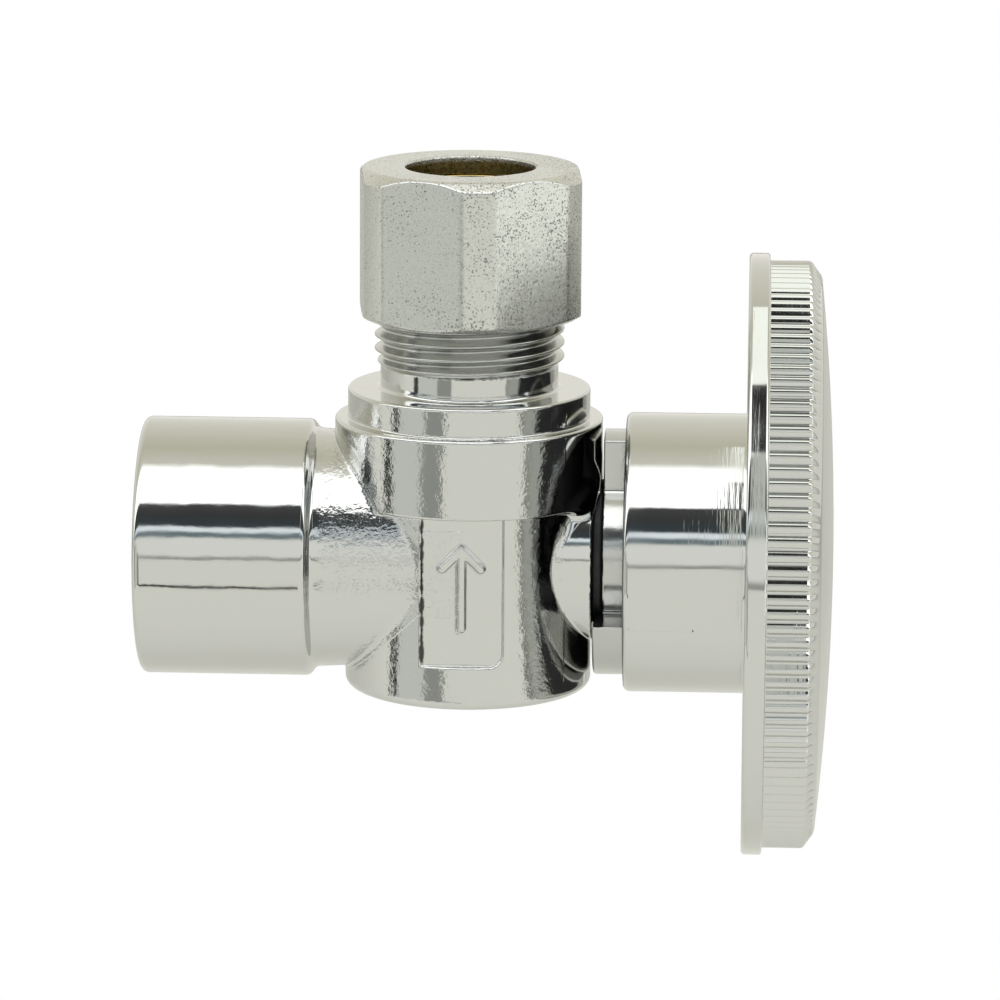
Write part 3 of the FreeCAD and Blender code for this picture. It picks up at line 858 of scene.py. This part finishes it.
sleeve_outline = [
    (sleeve_low[2], sleeve_bore_r, 0.08), (sleeve_low[2], sleeve_end_r, 0.08),
    (sleeve_low[2] + sleeve_taper, sleeve_r, 0.3), (sleeve_high[2] - sleeve_taper, sleeve_r, 0.3),
    (sleeve_high[2], sleeve_end_r, 0.08), (sleeve_high[2], sleeve_bore_r, 0.08),
]
sleeve_net = about_outlet(lathe_about_x(sleeve_outline, 160))
piece("brass_sleeve", sleeve_net, "sleeve", "compression_sleeve", materials["bare_brass"])


# Studio -----------------------------------------------------------------------------------------
floor_z = -75.0
floor_reach = 6000.0
card_color = (0.97, 1.0, 0.93)
card_distance = 200.0


def stage_sheet(name, corners, material):
    """Flat four-cornered sheet of the studio, from corners in millimetres."""
    mesh = bpy.data.meshes.new(name)
    mesh.from_pydata([Vector(corner) * MM for corner in corners], [], [(0, 1, 2, 3)])
    mesh.materials.append(material)
    made = bpy.data.objects.new(name, mesh)
    bpy.context.scene.collection.objects.link(made)
    return made


def floor():
    """Pale floor, plain white to the camera and a little greyer behind the valve in reflections."""
    pale = Finish("pale floor", (0.92, 0.92, 0.91), 0.0, 0.9)
    pale.set("Roughness", pale.spread(pale.noise(40, 2.0), 0.3, 0.7, 0.85, 0.95))
    depth = pale.node("ShaderNodeSeparateXYZ", {"Vector": pale.place}).outputs["Y"]
    behind = pale.spread(depth, -0.05, 0.30, 0.0, 1.0)
    pale.set("Base Color", pale.blend(behind, (0.86, 0.86, 0.84), (0.52, 0.52, 0.50)))
    white = pale.node("ShaderNodeEmission", {"Color": (1, 1, 1, 1), "Strength": 1.0})
    seen = pale.node("ShaderNodeLightPath").outputs["Is Camera Ray"]
    mixed = pale.node("ShaderNodeMixShader", {0: seen, 1: pale.shader.outputs[0], 2: white.outputs[0]})
    pale.tree.links.new(mixed.outputs[0], pale.tree.nodes["Material Output"].inputs["Surface"])
    sides = ((-1, -1), (1, -1), (1, 1), (-1, 1))
    stage_sheet("floor", [(floor_reach * x, floor_reach * y, floor_z) for x, y in sides], pale.material)


def card(name, corners, brightness):
    """Card outside the view with its own even brightness, seen only in reflections."""
    finish = Finish(name, (0.01, 0.01, 0.01), 0.0, 0.9)
    finish.shader.inputs["Specular IOR Level"].default_value = 0.0
    finish.shader.inputs["Emission Color"].default_value = (*card_color, 1)
    finish.shader.inputs["Emission Strength"].default_value = brightness
    made = stage_sheet(name, corners, finish.material)
    made.visible_camera = False
    made.visible_diffuse = False
    made.visible_shadow = False


def upright_card(name, start, finish, low, high, brightness):
    """Standing card between two azimuths, in degrees to the left of the front."""
    feet = [(barrel_x - card_distance * math.sin(math.radians(turn)),
             -card_distance * math.cos(math.radians(turn))) for turn in (start, finish)]
    card(name, [(*feet[0], low), (*feet[1], low), (*feet[1], high), (*feet[0], high)], brightness)


def overhead_card(name, near, far, brightness):
    """Card level above the wheel's rim, between two distances towards the back."""
    start, end, height = wheel_back - 0.8, wheel_back + 7.0, 60
    corners = [(start, near, height), (end, near, height), (end, far, height), (start, far, height)]
    card(name, corners, brightness)


def flags():
    """Bright, grey and dark cards, which draw the streaks in the plating."""
    upright_card("card_left", 38, 65, floor_z, 30, 0.78)
    upright_card("flag_left", 20, 38, floor_z, 12, 0.38)
    upright_card("flag_far_left", 66, 73, floor_z, 12, 0.05)
    upright_card("card_right", -88, -56, -34, 40, 1.3)
    overhead_card("card_rim_front", -185, -58, 0.72)
    overhead_card("flag_rim", -58, -24, 0.02)
    overhead_card("card_rim", -24, 14, 1.5)
    line_z = floor_z + 1
    corners = [(-300, -174, line_z), (14, -174, line_z), (14, -158, line_z), (-300, -158, line_z)]
    card("flag_front", corners, 0.02)


def studio_light():
    """A room of soft strips along X, by the angle that a direction makes from the front upwards.

    The camera itself sees plain white in its place.
    """
    world = bpy.data.worlds.new("studio")
    world.use_nodes = True
    bpy.context.scene.world = world
    tree = world.node_tree
    tree.nodes.clear()
    link = tree.links.new
    place = tree.nodes.new("ShaderNodeTexCoord")
    split = tree.nodes.new("ShaderNodeSeparateXYZ")
    link(place.outputs["Generated"], split.inputs["Vector"])
    forward = tree.nodes.new("ShaderNodeMath")
    forward.operation = "MULTIPLY"
    forward.inputs[1].default_value = -1
    link(split.outputs["Y"], forward.inputs[0])
    angle = tree.nodes.new("ShaderNodeMath")
    angle.operation = "ARCTAN2"
    link(split.outputs["Z"], angle.inputs[0])
    link(forward.outputs["Value"], angle.inputs[1])
    share = tree.nodes.new("ShaderNodeMapRange")
    share.inputs["From Min"].default_value = 0
    share.inputs["From Max"].default_value = math.pi
    link(angle.outputs["Value"], share.inputs["Value"])
    strips = tree.nodes.new("ShaderNodeValToRGB")
    link(share.outputs["Result"], strips.inputs["Fac"])
    bands = [
        (0, (0.42, 0.42, 0.40)), (1.2, (0.42, 0.42, 0.40)), (3, (1.00, 1.00, 0.96)),
        (18, (1.00, 1.00, 0.96)), (20, (0.20, 0.25, 0.27)), (23, (0.20, 0.26, 0.29)),
        (25, (1.10, 1.18, 1.24)), (27.8, (1.10, 1.18, 1.24)), (29.5, (0.05, 0.07, 0.08)),
        (40, (0.06, 0.062, 0.062)), (48.5, (0.08, 0.082, 0.082)), (50.5, (2.20, 2.22, 2.22)),
        (84, (2.00, 2.00, 1.98)), (90, (0.86, 0.84, 0.75)), (110, (0.72, 0.70, 0.56)),
        (130, (0.84, 0.82, 0.70)), (180, (1.00, 0.98, 0.92)),
    ]
    ramp = strips.color_ramp
    while len(ramp.elements) < len(bands):
        ramp.elements.new(0.5)
    for element, (degrees, color) in zip(ramp.elements, bands):
        element.position = degrees / 180
        element.color = (*color, 1)
    room = tree.nodes.new("ShaderNodeBackground")
    link(strips.outputs["Color"], room.inputs["Color"])
    plain = tree.nodes.new("ShaderNodeBackground")
    plain.inputs["Color"].default_value = (1, 1, 1, 1)
    rays = tree.nodes.new("ShaderNodeLightPath")
    seen = tree.nodes.new("ShaderNodeMixShader")
    link(rays.outputs["Is Camera Ray"], seen.inputs["Fac"])
    link(room.outputs["Background"], seen.inputs[1])
    link(plain.outputs["Background"], seen.inputs[2])
    output = tree.nodes.new("ShaderNodeOutputWorld")
    link(seen.outputs["Shader"], output.inputs["Surface"])


def camera():
    """Long lens, nearly square to the front and a little above."""
    azimuth = math.radians(2.506)
    elevation = math.radians(12.389)
    roll = math.radians(0.357)
    distance = 0.4230
    target = Vector((barrel_x + 2.36, 0, 3.835)) * MM
    back = Vector((math.sin(azimuth) * math.cos(elevation), -math.cos(azimuth) * math.cos(elevation),
                   math.sin(elevation)))
    right = Vector((math.cos(azimuth), math.sin(azimuth), 0))
    up = back.cross(right)
    turned_right = right * math.cos(roll) + up * math.sin(roll)
    turned_up = up * math.cos(roll) - right * math.sin(roll)
    data = bpy.data.cameras.new("camera")
    data.sensor_width = 36
    data.lens = 201.24
    data.clip_start = 0.02
    made = bpy.data.objects.new("camera", data)
    made.matrix_world = Matrix.Translation(target + back * distance) @ Matrix(
        (turned_right, turned_up, back)).transposed().to_4x4()
    bpy.context.scene.collection.objects.link(made)
    bpy.context.scene.camera = made


floor()
flags()
studio_light()
camera()
bpy.context.scene.view_settings.view_transform = "Standard"
